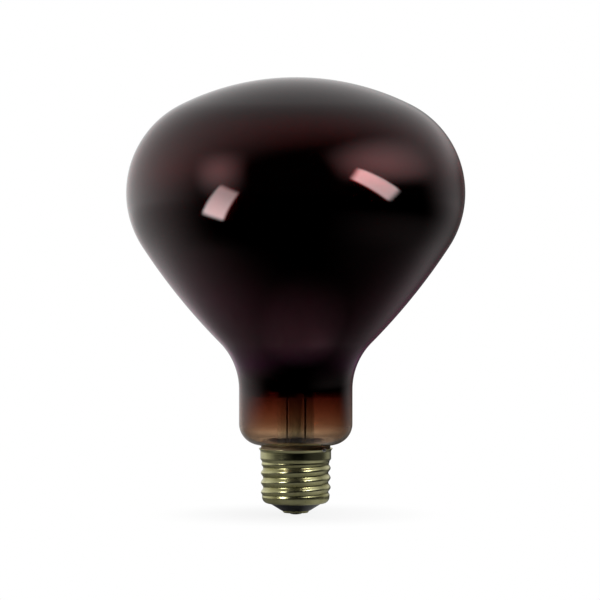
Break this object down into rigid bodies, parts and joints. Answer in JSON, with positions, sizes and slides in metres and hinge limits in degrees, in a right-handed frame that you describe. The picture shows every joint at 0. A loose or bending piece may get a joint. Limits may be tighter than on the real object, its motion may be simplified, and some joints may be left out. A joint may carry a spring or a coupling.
{
  "type": "infrared heat lamp bulb",
  "caption": "Reflector-type infrared heat lamp with a ruby glass bulb, domed face, narrow neck and a medium brass screw base with a centre contact.",
  "frame": {"origin": "tip of the centre contact, on the bulb's axis", "axes": "+Z along the bulb's axis from the contact to the domed face; -Y towards the viewer of the picture"},
  "size_m": [0.127, 0.127, 0.164],
  "materials": {
    "ruby_glass": "gloss ruby glass, with a bright metal coat inside the reflector flank",
    "brass_shell": "pale drawn brass, satin",
    "black_glass": "gloss black pressed glass",
    "contact_brass": "satin",
    "solder": "soft tin solder, dull bright",
    "cement": "tan baked basing cement, matt",
    "clear_glass": "clear soft glass",
    "nickel_wire": "drawn nickel-plated wire",
    "tungsten": "dark drawn tungsten",
    "shield_aluminium": "bright rolled sheet"
  },
  "bodies": {
    "root": {"glass_envelope": "ruby_glass", "screw_shell": "brass_shell", "base_insulator": "black_glass", "centre_contact": "contact_brass", "contact_solder": "solder", "basing_cement": "cement", "side_solder": "solder", "stem": "clear_glass", "exhaust_tube": "clear_glass", "arbor_rod": "clear_glass", "side_lead": "nickel_wire", "centre_lead": "nickel_wire", "filament": "tungsten", "support_wire_1": "tungsten", "support_wire_2": "tungsten", "support_wire_3": "tungsten", "support_wire_4": "tungsten", "support_wire_5": "tungsten", "heat_shield": "shield_aluminium", "shield_grip": "brass_shell"}
  },
  "joints": []
}
